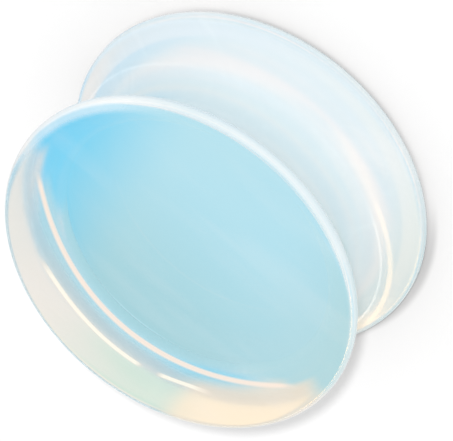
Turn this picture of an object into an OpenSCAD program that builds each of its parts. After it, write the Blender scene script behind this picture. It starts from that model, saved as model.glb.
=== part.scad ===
// Double-flared ear plug gauge, also called a saddle plug: one solid piece of opalescent glass.
// It lies on its back face with its axis along Z, and the origin is the middle of that face.
// Lengths are in millimetres.

/* [Plug] */
// Diameter at the waist of the saddle, where the lobe sits: the size that the plug is sold by
gauge_d = 22; // [16:0.5:50]
// Height of each flare above the waist, measured along a radius
flare_h = 3.5; // [1:0.1:5]
// Length from the back face to the front face
plug_l = 13.1; // [10:0.1:22]
// Rounding of the rim of each flare
rim_r = 0.8; // [0.5:0.05:2]

/* [Hidden] */
// Facets in a full turn: the arcs are exact whatever it is
$fn = 128;
// Radii of the waist and of the flares
waist_radius = gauge_d / 2;
flare_radius = waist_radius + flare_h;
// Radius of each flat face, up to where its rim starts to round over
face_radius = flare_radius - rim_r;
// Height of each rim's middle above or below the middle of the plug
rim_z = plug_l / 2 - rim_r;
// Radius of the saddle's hollow, an arc that touches the waist and runs smoothly into both rims
saddle_radius = (pow(rim_r - flare_h, 2) + pow(rim_z, 2) - pow(rim_r, 2)) / (2 * flare_h);
// Distance from the plug's axis to the middle of that arc
saddle_x = waist_radius + saddle_radius;
// How far that arc is let into the rims, so that they cross cleanly and don't only touch
rim_bite = 0.0002;

// Both rims, in the half plane that is turned about the axis
module rims() {
    for (side = [-1, 1])
        translate([face_radius, side * rim_z]) circle(r = rim_r);
}

// The flat faces and the body between them, out to the line that joins the rims to the saddle's middle
module core() {
    polygon([
        [0, -plug_l / 2],
        [face_radius, -plug_l / 2],
        [face_radius, -rim_z],
        [saddle_x, 0],
        [face_radius, rim_z],
        [face_radius, plug_l / 2],
        [0, plug_l / 2]
    ]);
}

// Half of the plug's section
module section() {
    difference() {
        union() {
            core();
            rims();
        }
        translate([saddle_x, 0]) circle(r = saddle_radius + rim_bite);
    }
}

module saddle_plug() {
    color([0.66, 0.86, 0.94])
        translate([0, 0, plug_l / 2])
            rotate_extrude()
                section();
}

saddle_plug();
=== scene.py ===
import math
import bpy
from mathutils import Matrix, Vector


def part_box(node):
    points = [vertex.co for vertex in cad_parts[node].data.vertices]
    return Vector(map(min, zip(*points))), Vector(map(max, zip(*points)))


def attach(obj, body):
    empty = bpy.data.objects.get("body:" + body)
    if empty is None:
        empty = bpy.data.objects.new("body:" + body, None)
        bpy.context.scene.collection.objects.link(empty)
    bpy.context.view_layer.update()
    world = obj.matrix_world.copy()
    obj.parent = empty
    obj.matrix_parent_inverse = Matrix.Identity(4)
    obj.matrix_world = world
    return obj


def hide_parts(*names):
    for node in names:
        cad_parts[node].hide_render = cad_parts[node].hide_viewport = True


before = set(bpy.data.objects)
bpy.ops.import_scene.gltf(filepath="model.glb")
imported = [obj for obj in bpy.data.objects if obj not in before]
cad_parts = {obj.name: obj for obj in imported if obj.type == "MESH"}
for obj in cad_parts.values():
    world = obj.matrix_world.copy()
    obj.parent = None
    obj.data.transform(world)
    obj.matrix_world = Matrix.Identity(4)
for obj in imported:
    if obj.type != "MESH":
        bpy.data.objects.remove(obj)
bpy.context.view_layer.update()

from types import SimpleNamespace

import bpy
from mathutils import Matrix, Vector

bpy.ops.object.select_all(action="DESELECT")

# The photograph's frame, in its pixels
PHOTO_WIDTH = 453
PHOTO_HEIGHT = 441

# How the camera sees the plug: the degrees between its line of sight and the plug's axis, the degrees that
# it is rolled, how many flare radii away it stands, the pixels that a flare radius takes, and the pixel of
# the plug's middle
TILT_FROM_AXIS = 44.8
ROLL = 230.29
FLARES_AWAY = 93.4
PIXELS_PER_FLARE = 195.985
MIDDLE_PIXEL = (215.72, 219.965)
SENSOR = 36
CAMERA_REACH = 10

# The plug's sizes are read near its front face and near its middle: how near, as shares of its length
NEAR_FACE = 1e-4
NEAR_WAIST = 1 / 8

# Steps round the plug, round each rim and along the saddle, and how close two points are to be one
ROUND_STEPS = 320
RIM_STEPS = 20
SADDLE_STEPS = 72
WELD = 1e-7

# The narrow ring that keeps each face flat up to its rim, as a share of the rim
FACE_RING = 0.1
UP = Vector((0, 0, 1))

# The glass: how it bends light, the two tints of its clouds, and how rough the saddle is
GLASS_IOR = 1.5
GLASS_BLUE = (0.90, 0.97, 1.0)
GLASS_WHITE = (0.97, 0.99, 1.0)
CLOUD_SCALE = 90.0
CLOUDS = (0.3, 0.7)
NOISE_DETAIL = 3.0
WALL_ROUGHNESS = 0.25

# The milk inside: how much red, green and blue it takes up in a metre, and the colour that it glows instead
ABSORBED = (10, 17, 24)
MILK = (0.45, 0.74, 0.86)

# Metres under the nearer face at which the flat face ends, the finish of the saddle comes in, and the line
# of painted highlight on the rim comes and goes
FACE_END = (0.00002, 0.0001)
WALL_FROM = (0.00005, 0.0018)
RIM_HIGHLIGHT_FROM = (0.00012, 0.00032)
RIM_HIGHLIGHT_TO = (0.0006, 0.0011)

# The milky film on the outside: how much it hides on the saddle, on the faces and in the wisps on them, and
# how much lighter film paints a highlight in the line on each rim and at the edge of the faces towards +X
FILM_WALL = 0.58
FILM_FACE = 0.07
FILM_WISPS = 0.08
RIM_HIGHLIGHT_SHARE = 0.33
EDGE_HIGHLIGHT_SHARE = 0.35
FILM_ROUGHNESS = 0.04

# The film's colours: on the flares, at the waist, towards -X, and the painted highlight on the rims and that
# edge
FILM_FLARE_COLOUR = (0.65, 0.635, 0.635)
FILM_WAIST_COLOUR = (0.59, 0.63, 0.64)
FILM_WARM_COLOUR = (0.66, 0.62, 0.57)
RIM_HIGHLIGHT_COLOUR = (0.71, 0.675, 0.65)

# Where the colours change: metres from the middle for the waist, and flare radii towards -X for the warm one
FILM_WAIST_HALF = (0.0008, 0.0035)
FILM_WARM_FROM = (0.55, 0.95)

# Where the painted highlight at the faces' edge lies: flare radii from the axis and towards +X, and its turn
# from +Y
EDGE_OUT = (0.925, 0.965)
EDGE_ACROSS = (0.45, 0.85)
EDGE_TURN = (0.75, 1.0)

# The wisps in the film: how they are turned and stretched, how broken they are, and the part that shows
WISP_TURN = -30
WISP_SCALE = (60, 330, 60)
WISP_ROUGHNESS = 0.55
WISPS = (0.45, 0.75)

# The painted glow on the saddle's inner side: all round but at +Y, low towards -X, and in a belt towards +X
SIDE_GLOW = 0.87
WARM_GLOW = 0.62
BELT_GLOW = 0.2
WARM_GLOW_COLOUR = (1.0, 0.77, 0.53)

# The side's glow starts at this turn from +Y, a little sooner towards -X, and later in two steps of height
SIDE_TURN = (0.35, 0.55)
SIDE_SOONER = 0.08
SIDE_SOONER_ACROSS = (0.3, 0.6)
SIDE_LATER = 0.3
SIDE_LATER_ABOVE = (0.001, 0.0035)
SIDE_LATEST = 0.22
SIDE_LATEST_ABOVE = (0.0035, 0.0044)

# Where the warm glow and the belt lie: flare radii towards -X or +X, and metres above the middle
WARM_GLOW_ACROSS = (0.3, 0.5)
WARM_GLOW_ABOVE = (0.0012, 0.0034)
BELT_ACROSS = (0.3, 0.7)
BELT_FROM = (0.0024, 0.0034)
BELT_TO = (0.0037, 0.0043)

# Two painted highlight lines on the saddle's inner side, which climb as they turn away from +Y. Each has its
# colour, its metres above the middle at +Y, how much it climbs, how its edge fades, and the turn at which it
# ends.
HIGHLIGHT_LINE_GLOW = 0.92
CLIMB_POWER = 1.3
PINK_COLOUR = (1.08, 0.85, 0.68)
PINK_ABOVE = 0.00115
PINK_CLIMB = 0.0040
PINK_THINNING = 0.0003
PINK_HALF = (0.0002, 0.0005)
PINK_END = (0.66, 0.8)
CREAM_COLOUR = (1.10, 1.02, 0.84)
CREAM_ABOVE = 0.00343
CREAM_CLIMB = 0.0034
CREAM_HALF = (0.0001, 0.00022)
CREAM_END = (0.15, 0.26)

# The cream highlight line sinks a little towards -X, and is broken in one place
CREAM_SINK = 0.0004
CREAM_SINK_X = (-0.002, -0.007)
CREAM_BREAK_X = -0.0033
CREAM_BREAK_HALF = (0.0004, 0.0012)

# The painted light that shows through the face: at its far and near parts, towards -X, and the deep blue
# towards +X
FACE_FAR = (0.31, 0.59, 0.60)
FACE_NEAR = (0.44, 0.77, 0.86)
FACE_GREEN = (0.40, 0.67, 0.71)
FACE_BLUE = (0.03, 0.60, 0.92)

# Where these colours change, in flare radii, and how much the blue's border leans
FAR_TO_NEAR = (1.05, -0.2)
GREEN_FROM = (-0.25, -0.95)
BLUE_FROM = (0.3, 0.97)
BLUE_LEAN = 0.1

# The card behind the face, in flare radii: how far away it hangs, how far it is slid down its own plane, its
# half width and half height, and the part of the back face that its height and its middle stand for
CARD_DISTANCE = 30
CARD_SLID = 0.095
CARD_HALF_WIDTH = 0.86
CARD_HALF_HEIGHT = 0.66
CARD_DEEP = 0.937
CARD_DEEP_MIDDLE = 0.319

# The card under the plug: its radius and its place towards +Y, in flare radii, and its metres under the plug
DISC_RADIUS = 0.84
DISC_DEEP = 0.06
DISC_DROP = 1e-4
DISC_STEPS = 128

# The dome of soft panels that shows through the glass. Each panel has a name, its azimuth and elevation, the
# degrees from its middle at which it starts to fade and is gone, and its colour. A later one covers the
# earlier ones.
DOME_RADIUS = 2
DOME_STEPS = 48
DOME_COLOUR = (0.40, 0.66, 0.74)
PANELS = (
    ("near", -90, 0, 30, 75, (0.44, 0.70, 0.64)),
    ("near low", -90, -50, 20, 45, (0.60, 0.78, 0.76)),
    ("near high", -90, 48, 34, 50, (0.45, 0.72, 0.68)),
    ("blue", 165, 2, 28, 52, (0.03, 0.62, 1.08)),
    ("teal", 35, 5, 16, 34, (0.34, 0.70, 0.68)),
    ("pale high", 15, 48, 14, 32, (0.70, 0.86, 0.84)),
    ("orange", -12, 2, 10, 26, (0.95, 0.74, 0.48)),
    ("cream near", -146, 12, 8, 20, (0.85, 0.85, 0.72)),
    ("far low pale", 75, -12, 12, 30, (0.72, 0.84, 0.80)),
    ("far low blue", 115, -12, 12, 30, (0.54, 0.82, 0.98)),
    ("low blue", 172, -45, 12, 30, (0.50, 0.85, 0.98)),
    ("low cream", 10, -45, 12, 30, (0.90, 0.84, 0.72)),
    ("below", 0, -90, 20, 36, (0.92, 0.86, 0.72)),
    ("green", 78, -65, 6, 14, (0.66, 0.80, 0.66)),
    ("cream patch", 58, -52, 9, 15, (1.34, 1.12, 0.82)),
    ("pale patch", 122, -55, 10, 24, (0.92, 0.83, 0.74)),
)

# Strips of light in a ring round the plug, which only show as highlights. Each has a name, its elevation in
# degrees, its height in metres, the azimuth and half width of its bright part, its strength, its grey
# elsewhere, and the colour of its bright part.
RING_RADIUS = 0.6
RING_FADE = 20
RING_STEPS = 96
STRIPS = (
    ("strip_low", 2, 0.03, 130, 50, 4, 0.6, (1.0, 0.93, 0.85)),
    ("strip_high", 13, 0.06, 160, 25, 7, 0.19, (1.0, 0.62, 0.30)),
)

# The table, a hair under the plug: its tone and its own faint light, where it is clear and in the painted
# shade
FLOOR_SIZE = 4
FLOOR_GAP = 2e-5
FLOOR_TONE = 0.6
FLOOR_SHADE_TONE = 0.43
FLOOR_LIGHT = 0.17
FLOOR_SHADE_LIGHT = 0.7
FLOOR_ROUGHNESS = 0.9
FLOOR_GLOSS = 0.1

# The short painted shade beside the plug: how far its middle lies towards -X, in metres, the flare radii from
# there over which it fades, and the flare radii towards -X over which it comes in
SHADE_MOVED = 0.0004
SHADE_OUT = (0.986, 1.031)
SHADE_ACROSS = (0.75, 0.98)

# The soft lamp: degrees to the left of the camera and above it, how wide it looks in degrees, its strength
LAMP_LEFT = 2.2
LAMP_UP = 2.2
LAMP_SIZE = 3
LAMP_STRENGTH = 2.3
ROOM_COLOUR = (1.0, 1.0, 1.0)

# How often light may bounce or pass through glass, and how often in its milk
BOUNCES = 24
MILK_BOUNCES = 4
RAY_KINDS = ("camera", "diffuse", "glossy", "transmission", "shadow", "volume_scatter")


class Wire:
    """An output in a node tree. Sums on it add Math nodes, and node() adds a node of any kind."""

    def __init__(self, tree, socket=None):
        self.tree = tree
        self.socket = socket

    def node(self, kind, settings, sockets, output=0):
        """A new node: its settings first, and then the value of each socket or the wire that feeds it."""
        made = self.tree.nodes.new(kind)
        for name, value in settings.items():
            setattr(made, name, value)
        for name, value in sockets.items():
            if isinstance(value, Wire):
                self.tree.links.new(value.socket, made.inputs[name])
            else:
                made.inputs[name].default_value = value
        return Wire(self.tree, None if output is None else made.outputs[output])

    def math(self, operation, *values):
        return self.node("ShaderNodeMath", {"operation": operation}, dict(enumerate(values)))

    def __add__(self, other):
        return self.math("ADD", self, other)

    def __radd__(self, other):
        return self.math("ADD", other, self)

    def __sub__(self, other):
        return self.math("SUBTRACT", self, other)

    def __rsub__(self, other):
        return self.math("SUBTRACT", other, self)

    def __mul__(self, other):
        return self.math("MULTIPLY", self, other)

    def __rmul__(self, other):
        return self.math("MULTIPLY", other, self)

    def __truediv__(self, other):
        return self.math("DIVIDE", self, other)

    def __neg__(self):
        return self.math("MULTIPLY", self, -1)

    def __abs__(self):
        return self.math("ABSOLUTE", self)

    def between(self, start, end):
        """0 where the value hasn't reached start, 1 where it is past end, and smooth in between."""
        return self.node(
            "ShaderNodeMapRange",
            {"interpolation_type": "SMOOTHSTEP"},
            {"Value": self, "From Min": start, "From Max": end},
        )

    def place(self):
        """The point that is coloured, in its object's own metres."""
        return self.node("ShaderNodeTexCoord", {}, {}, output=3)

    def part(self, axis):
        """The x, y or z of a vector, for axis 0, 1 or 2."""
        return self.node("ShaderNodeSeparateXYZ", {}, {"Vector": self}, output=axis)

    def vector_math(self, operation, *vectors, output=0):
        return self.node("ShaderNodeVectorMath", {"operation": operation}, dict(enumerate(vectors)), output)

    def mix(self, share, first, second):
        """first where share is 0 and second where it is 1. Both are colours."""
        settings = {"data_type": "RGBA"}
        return self.node("ShaderNodeMix", settings, {0: share, 6: first, 7: second}, output=2)

    def cover(self, share, under, over):
        """The shader under, covered by the shader over as far as share says."""
        return self.node("ShaderNodeMixShader", {}, {0: share, 1: under, 2: over})

    def light(self, shade, strength=1.0):
        """A shader that gives light of this colour."""
        return self.node("ShaderNodeEmission", {}, {"Color": shade, "Strength": strength})


def colour(red, green, blue):
    return (red, green, blue, 1)


def grey(tone):
    return (tone, tone, tone, 1)


def toward(azimuth, elevation):
    """The direction at these degrees: azimuth from +X towards +Y, elevation from the horizon."""
    a = math.radians(azimuth)
    e = math.radians(elevation)
    return Vector((math.cos(a) * math.cos(e), math.sin(a) * math.cos(e), math.sin(e)))


def read_sizes():
    """The plug's driving sizes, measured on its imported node."""
    low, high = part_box("saddle_plug")
    length = high.z - low.z
    middle = (low.z + high.z) / 2
    points = [(math.hypot(v.co.x, v.co.y), v.co.z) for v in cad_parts["saddle_plug"].data.vertices]
    return {
        "length": length,
        "flare": (high.x - low.x) / 2,
        "face": max(radius for radius, z in points if z > high.z - NEAR_FACE * length),
        "waist": min(radius for radius, z in points if abs(z - middle) < NEAR_WAIST * length),
    }


def place_camera(flare, length):
    """A long lens at the photograph's angle, shifted a little to put the plug where it stands there."""
    tilt = math.radians(TILT_FROM_AXIS)
    roll = math.radians(ROLL)
    middle = Vector((0, 0, length / 2))
    back = Vector((0, -math.sin(tilt), math.cos(tilt)))
    axis_in_view = (UP - math.cos(tilt) * back).normalized()
    right = math.cos(roll) * axis_in_view - math.sin(roll) * back.cross(axis_in_view)
    turned = Matrix((right, back.cross(right), back)).transposed()
    bpy.ops.object.camera_add()
    camera = bpy.context.object
    camera.name = "camera"
    camera.matrix_world = Matrix.LocRotScale(middle + back * FLARES_AWAY * flare, turned, None)
    camera.data.sensor_width = SENSOR
    camera.data.lens = SENSOR * FLARES_AWAY * PIXELS_PER_FLARE / PHOTO_WIDTH
    camera.data.shift_x = (PHOTO_WIDTH / 2 - MIDDLE_PIXEL[0]) / PHOTO_WIDTH
    camera.data.shift_y = (MIDDLE_PIXEL[1] - PHOTO_HEIGHT / 2) / PHOTO_WIDTH
    camera.data.clip_end = CAMERA_REACH
    bpy.context.scene.camera = camera


def sweep(steps, angle, centre, axis):
    """Sweeps what is selected round an axis through centre, and leaves the end of it selected."""
    bpy.ops.mesh.spin(steps=steps, angle=angle, center=centre, axis=axis, dupli=False)


def model_plug(length, flare, face, waist):
    """The plug's outline swept round its axis, with a flat face at each end."""
    rim = flare - face
    flare_height = flare - waist
    rim_above = length / 2 - rim
    saddle = ((rim - flare_height) ** 2 + rim_above**2 - rim**2) / (2 * flare_height)
    saddle_out = waist + saddle
    joint = math.atan2(rim_above, saddle_out - face)
    across = Vector((0, 1, 0))

    # One point at the edge of the back face draws the outline: the back rim, the saddle and the front rim
    bpy.ops.mesh.primitive_plane_add(size=rim, location=(face, 0, 0))
    bpy.ops.object.transform_apply()
    plug = bpy.context.object
    plug.name = "saddle_plug_glass"
    bpy.ops.object.mode_set(mode="EDIT")
    bpy.ops.mesh.merge(type="CENTER")
    sweep(RIM_STEPS, math.pi / 2 + joint, (face, 0, rim), across)
    sweep(SADDLE_STEPS, -2 * joint, (saddle_out, 0, length / 2), across)
    sweep(RIM_STEPS, math.pi / 2 + joint, (face, 0, length - rim), across)

    # The outline draws the wall, whose first and last edges meet
    bpy.ops.mesh.select_all(action="SELECT")
    sweep(ROUND_STEPS, 2 * math.pi, (0, 0, 0), UP)
    bpy.ops.mesh.select_all(action="SELECT")
    bpy.ops.mesh.remove_doubles(threshold=WELD)

    # The two open ends are closed by the faces, each with its ring
    bpy.ops.mesh.select_all(action="DESELECT")
    bpy.ops.mesh.select_non_manifold()
    bpy.ops.mesh.edge_face_add()
    bpy.ops.mesh.select_all(action="DESELECT")
    bpy.ops.mesh.select_face_by_sides(number=4, type="GREATER")
    bpy.ops.mesh.inset(thickness=rim * FACE_RING)
    bpy.ops.mesh.select_all(action="SELECT")
    bpy.ops.mesh.normals_make_consistent(inside=False)
    bpy.ops.mesh.faces_shade_smooth()
    bpy.ops.object.mode_set(mode="OBJECT")
    return plug


def find_place(wire, length, flare):
    """The wires that say where on the plug the coloured point lies."""
    place = wire.place()
    x = place.part(0)
    above = place.part(2) - length / 2
    across = x * (1 / flare)
    deep = place.part(1) * (1 / flare)
    out = wire.math("SQRT", across * across + deep * deep)
    return SimpleNamespace(
        place=place,
        # In metres: towards +X, above the plug's middle, and under the nearer face
        x=x,
        above=above,
        depth=length / 2 - abs(above),
        # In flare radii: towards +X, towards +Y, and out from the axis
        across=across,
        deep=deep,
        out=out,
        # The turn from +Y: 0 there, 1 at either side and 2 at -Y
        turn=1 - deep / out,
        # 1 where the surface is met from inside the glass
        inner_side=wire.node("ShaderNodeNewGeometry", {}, {}, output=6),
    )


def clear_glass(wire, at, on_wall):
    """Glass with soft clouds of two tints, polished on the faces and softer on the saddle."""
    noise = {"Vector": at.place, "Scale": CLOUD_SCALE, "Detail": NOISE_DETAIL}
    clouds = wire.node("ShaderNodeTexNoise", {}, noise).between(*CLOUDS)
    glass = {
        "Base Color": wire.mix(clouds, colour(*GLASS_BLUE), colour(*GLASS_WHITE)),
        "Roughness": on_wall * WALL_ROUGHNESS,
        "IOR": GLASS_IOR,
        "Transmission Weight": 1.0,
    }
    return wire.node("ShaderNodeBsdfPrincipled", {}, glass)


def film_over(wire, at, on_wall, surface):
    """A thin milky film on the outside: thick on the saddle, wisps on the faces, and a painted highlight in
    lighter film on the rims and at the faces' edge towards +X.
    """
    stretch = {"Vector": at.place, "Rotation": (0, 0, math.radians(WISP_TURN)), "Scale": WISP_SCALE}
    stretched = wire.node("ShaderNodeMapping", {}, stretch)
    noise = {"Vector": stretched, "Scale": 1.0, "Detail": NOISE_DETAIL, "Roughness": WISP_ROUGHNESS}
    wisps = wire.node("ShaderNodeTexNoise", {}, noise).between(*WISPS)
    # Painted highlight: a lighter line of film round each rim, and a band at the faces' edge towards +X
    rim_highlight = at.depth.between(*RIM_HIGHLIGHT_FROM) * (1 - at.depth.between(*RIM_HIGHLIGHT_TO))
    edge = at.out.between(*EDGE_OUT) * at.across.between(*EDGE_ACROSS) * at.turn.between(*EDGE_TURN)
    edge = edge * (1 - on_wall)
    share = FILM_FACE + FILM_WISPS * wisps + (FILM_WALL - FILM_FACE) * on_wall
    share = share + RIM_HIGHLIGHT_SHARE * rim_highlight + EDGE_HIGHLIGHT_SHARE * edge
    at_waist = 1 - abs(at.above).between(*FILM_WAIST_HALF)
    shade = wire.mix(at_waist, colour(*FILM_FLARE_COLOUR), colour(*FILM_WAIST_COLOUR))
    shade = wire.mix((-at.across).between(*FILM_WARM_FROM), shade, colour(*FILM_WARM_COLOUR))
    shade = wire.mix(wire.math("MAXIMUM", rim_highlight, edge), shade, colour(*RIM_HIGHLIGHT_COLOUR))
    film = wire.node("ShaderNodeBsdfPrincipled", {}, {"Base Color": shade, "Roughness": FILM_ROUGHNESS})
    return wire.cover(share * (1 - at.inner_side), surface, film)


def face_shade(wire, across, deep):
    """The painted light that shows through a place on the back face, given in flare radii towards +X and +Y.
    """
    shade = wire.mix(deep.between(*FAR_TO_NEAR), colour(*FACE_FAR), colour(*FACE_NEAR))
    shade = wire.mix(across.between(*GREEN_FROM), shade, colour(*FACE_GREEN))
    return wire.mix((across + BLUE_LEAN * deep).between(*BLUE_FROM), shade, colour(*FACE_BLUE))


def painted_glow_inside(wire, at, surface):
    """Painted light on the saddle's inner side: a glow in the colours that show through the face, which only
    shows through the glass.
    """
    sooner = (-at.across).between(*SIDE_SOONER_ACROSS) * SIDE_SOONER
    later = at.above.between(*SIDE_LATER_ABOVE) * SIDE_LATER
    later = later + at.above.between(*SIDE_LATEST_ABOVE) * SIDE_LATEST
    side = (at.turn + sooner - later).between(*SIDE_TURN)
    warm = (-at.across).between(*WARM_GLOW_ACROSS) * at.above.between(*WARM_GLOW_ABOVE) * (1 - side)
    belt = at.across.between(*BELT_ACROSS) * at.above.between(*BELT_FROM) * (1 - side)
    belt = belt * (1 - at.above.between(*BELT_TO))
    share = SIDE_GLOW * side + WARM_GLOW * warm + BELT_GLOW * belt
    share = share * at.depth.between(*FACE_END) * at.inner_side
    shade = wire.mix(warm, face_shade(wire, at.across, at.deep), colour(*WARM_GLOW_COLOUR))
    return wire.cover(share, surface, wire.light(shade))


def painted_highlight_lines(wire, at, surface):
    """The pink and the cream painted highlight lines on the saddle's inner side, which only show through the
    glass.
    """
    climb = wire.math("POWER", at.turn, CLIMB_POWER)
    from_pink = abs(at.above - (PINK_ABOVE + climb * PINK_CLIMB)) + climb * PINK_THINNING
    pink = (1 - from_pink.between(*PINK_HALF)) * (1 - at.turn.between(*PINK_END))
    sunk = at.x.between(*CREAM_SINK_X) * CREAM_SINK
    from_cream = abs(at.above - (CREAM_ABOVE + climb * CREAM_CLIMB - sunk))
    cream = (1 - from_cream.between(*CREAM_HALF)) * (1 - at.turn.between(*CREAM_END))
    cream = cream * abs(at.x - CREAM_BREAK_X).between(*CREAM_BREAK_HALF)
    share = HIGHLIGHT_LINE_GLOW * wire.math("MAXIMUM", pink, cream) * at.inner_side
    shade = wire.mix(cream, colour(*PINK_COLOUR), colour(*CREAM_COLOUR))
    return wire.cover(share, surface, wire.light(shade))


def milk_inside(wire):
    """Takes up a little of the light that goes through the glass, and glows pale blue instead."""
    most = max(ABSORBED)
    kept = colour(*[1 - part / most for part in ABSORBED])
    shine = colour(*[part * tone for part, tone in zip(ABSORBED, MILK)])
    absorbed = wire.node("ShaderNodeVolumeAbsorption", {}, {"Color": kept, "Density": most})
    return wire.node("ShaderNodeAddShader", {}, {0: absorbed, 1: wire.light(shine)})


def opal_glass(length, flare):
    """Milky opal glass: clear inside, with a film on the outside and painted light on the saddle's inner
    side.
    """
    material = bpy.data.materials.new("opal_glass")
    material.use_nodes = True
    material.node_tree.nodes.clear()
    wire = Wire(material.node_tree)
    at = find_place(wire, length, flare)
    on_wall = at.depth.between(*WALL_FROM)
    surface = clear_glass(wire, at, on_wall)
    surface = film_over(wire, at, on_wall, surface)
    surface = painted_glow_inside(wire, at, surface)
    surface = painted_highlight_lines(wire, at, surface)
    sockets = {"Surface": surface, "Volume": milk_inside(wire)}
    wire.node("ShaderNodeOutputMaterial", {}, sockets, output=None)
    return material


def start_light(thing, name):
    """Names thing, gives it a bare material that isn't sampled as a lamp, and gives back its node wire."""
    thing.name = name
    material = bpy.data.materials.new(name)
    material.use_nodes = True
    material.cycles.emission_sampling = "NONE"
    material.node_tree.nodes.clear()
    thing.data.materials.append(material)
    return Wire(material.node_tree)


def finish_light(thing, light, seen_by):
    """Makes thing shine with a light that only one kind of ray sees."""
    light.node("ShaderNodeOutputMaterial", {}, {"Surface": light}, output=None)
    for kind in RAY_KINDS:
        setattr(thing, "visible_" + kind, kind == seen_by)


def lay_floor(flare):
    """A plain pale table with a short shade painted beside the plug. It doesn't show through the glass."""
    bpy.ops.mesh.primitive_plane_add(size=FLOOR_SIZE, location=(0, 0, -FLOOR_GAP))
    floor = bpy.context.object
    floor.name = "floor"
    material = bpy.data.materials.new("white_table")
    material.use_nodes = True
    shader = material.node_tree.nodes["Principled BSDF"]
    wire = Wire(material.node_tree)
    place = wire.place()
    # Painted shade: the table is darker and glows less in a narrow ring beside the plug towards -X
    moved = wire.vector_math("ADD", place, (SHADE_MOVED, 0, 0))
    away = wire.vector_math("LENGTH", moved, output=1)
    beside = 1 - away.between(flare * SHADE_OUT[0], flare * SHADE_OUT[1])
    clear = 1 - beside * (place.part(0) * (-1 / flare)).between(*SHADE_ACROSS)
    tone = wire.mix(clear, grey(FLOOR_SHADE_TONE), grey(FLOOR_TONE))
    glow = wire.mix(clear, grey(FLOOR_SHADE_LIGHT), grey(1))
    material.node_tree.links.new(tone.socket, shader.inputs["Base Color"])
    material.node_tree.links.new(glow.socket, shader.inputs["Emission Color"])
    shader.inputs["Emission Strength"].default_value = FLOOR_LIGHT
    shader.inputs["Roughness"].default_value = FLOOR_ROUGHNESS
    shader.inputs["Specular IOR Level"].default_value = FLOOR_GLOSS
    floor.data.materials.append(material)
    floor.visible_transmission = False


def hang_card(flare):
    """A glowing card far behind the face, nearly square to the line of sight, painted with the light that
    shows through the face and seen only through the glass.
    """
    aim = toward(90, -TILT_FROM_AXIS)
    along = Vector((0, -aim.z, aim.y))
    spread = (FLARES_AWAY + CARD_DISTANCE) / FLARES_AWAY * flare
    middle = aim * CARD_DISTANCE * flare - along * CARD_SLID * spread
    bpy.ops.mesh.primitive_plane_add(size=2, location=middle)
    card = bpy.context.object
    card.scale = (CARD_HALF_WIDTH * spread, CARD_HALF_HEIGHT * spread, 1)
    card.rotation_euler = (math.radians(90 - TILT_FROM_AXIS), 0, 0)
    wire = start_light(card, "card_behind_face")
    place = wire.place()
    across = place.part(0) * CARD_HALF_WIDTH
    deep = place.part(1) * CARD_DEEP + CARD_DEEP_MIDDLE
    finish_light(card, wire.light(face_shade(wire, across, deep)), "transmission")


def lay_disc(flare):
    """A round glowing card just under the plug, seen only through the glass: painted blue light and shade of
    the table under the plug.
    """
    bpy.ops.mesh.primitive_circle_add(
        vertices=DISC_STEPS,
        radius=DISC_RADIUS * flare,
        fill_type="NGON",
        location=(0, DISC_DEEP * flare, -DISC_DROP),
    )
    disc = bpy.context.object
    wire = start_light(disc, "card_under_plug")
    place = wire.place()
    across = place.part(0) * (1 / flare)
    deep = place.part(1) * (1 / flare) + DISC_DEEP
    finish_light(disc, wire.light(face_shade(wire, across, deep)), "transmission")


def hang_dome():
    """A dome of soft coloured panels, seen only through the glass."""
    bpy.ops.mesh.primitive_uv_sphere_add(segments=DOME_STEPS, ring_count=DOME_STEPS // 2, radius=DOME_RADIUS)
    dome = bpy.context.object
    wire = start_light(dome, "backdrop")
    direction = wire.vector_math("NORMALIZE", wire.place())
    shade = colour(*DOME_COLOUR)
    for name, azimuth, elevation, full, gone, tone in PANELS:
        aim = wire.vector_math("DOT_PRODUCT", direction, toward(azimuth, elevation), output=1)
        share = aim.between(math.cos(math.radians(gone)), math.cos(math.radians(full)))
        shade = wire.mix(share, shade, colour(*tone))
        shade.socket.node.label = name
    finish_light(dome, wire.light(shade), "transmission")


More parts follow.
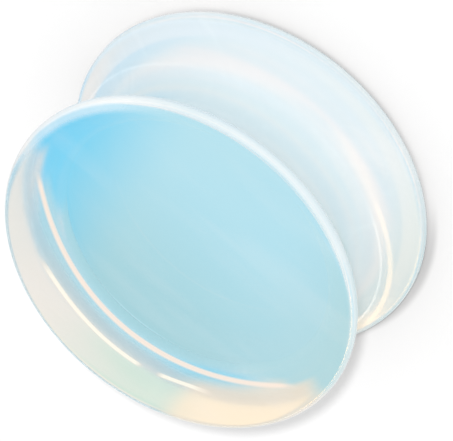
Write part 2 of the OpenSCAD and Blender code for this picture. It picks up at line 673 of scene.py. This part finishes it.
def shine_strip(name, elevation, height, centre, half, strength, elsewhere, tone):
    """A low strip of light all round the plug, brighter on one side, seen only as highlights on the glass."""
    aim = toward(0, elevation) * RING_RADIUS
    bpy.ops.mesh.primitive_cylinder_add(
        vertices=RING_STEPS, radius=aim.x, depth=height, end_fill_type="NOTHING", location=(0, 0, aim.z)
    )
    ring = bpy.context.object
    wire = start_light(ring, name)
    reach = wire.vector_math("DOT_PRODUCT", wire.place(), toward(centre, 0), output=1)
    fade_start = RING_RADIUS * math.cos(math.radians(half + RING_FADE))
    fade_end = RING_RADIUS * math.cos(math.radians(half))
    shade = wire.mix(reach.between(fade_start, fade_end), grey(elsewhere), colour(*tone))
    finish_light(ring, wire.light(shade, strength), "glossy")


def shine_lamp():
    """A soft lamp beside the camera, which draws a narrow shadow along the plug's lower right."""
    camera = bpy.context.scene.camera.matrix_world.to_3x3()
    away = camera @ Vector((-math.tan(math.radians(LAMP_LEFT)), math.tan(math.radians(LAMP_UP)), 1))
    bpy.ops.object.light_add(type="SUN", location=away.normalized())
    lamp = bpy.context.object
    lamp.name = "soft_lamp"
    lamp.data.energy = LAMP_STRENGTH
    lamp.data.angle = math.radians(LAMP_SIZE)
    lamp.rotation_euler = away.to_track_quat("Z", "Y").to_euler()
    lamp.visible_transmission = False
    lamp.visible_glossy = False


def light_room():
    """An even white room all round, for the table and for what shines on the glass."""
    world = bpy.data.worlds.new("room")
    world.use_nodes = True
    bpy.context.scene.world = world
    light = world.node_tree.nodes["Background"]
    light.inputs["Color"].default_value = colour(*ROOM_COLOUR)
    light.inputs["Strength"].default_value = 1.0


def set_view(scene):
    """Colours as they are, and enough bounces for light to cross the glass many times."""
    scene.view_settings.view_transform = "Standard"
    scene.cycles.max_bounces = BOUNCES
    scene.cycles.transmission_bounces = BOUNCES
    scene.cycles.volume_bounces = MILK_BOUNCES
    scene.cycles.caustics_refractive = False
    scene.cycles.caustics_reflective = False


sizes = read_sizes()
flare = sizes["flare"]
length = sizes["length"]
place_camera(flare, length)
plug = model_plug(**sizes)
plug.data.materials.append(opal_glass(length, flare))
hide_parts("saddle_plug")
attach(plug, "root")
lay_floor(flare)
hang_card(flare)
lay_disc(flare)
hang_dome()
for strip in STRIPS:
    shine_strip(*strip)
shine_lamp()
light_room()
set_view(bpy.context.scene)
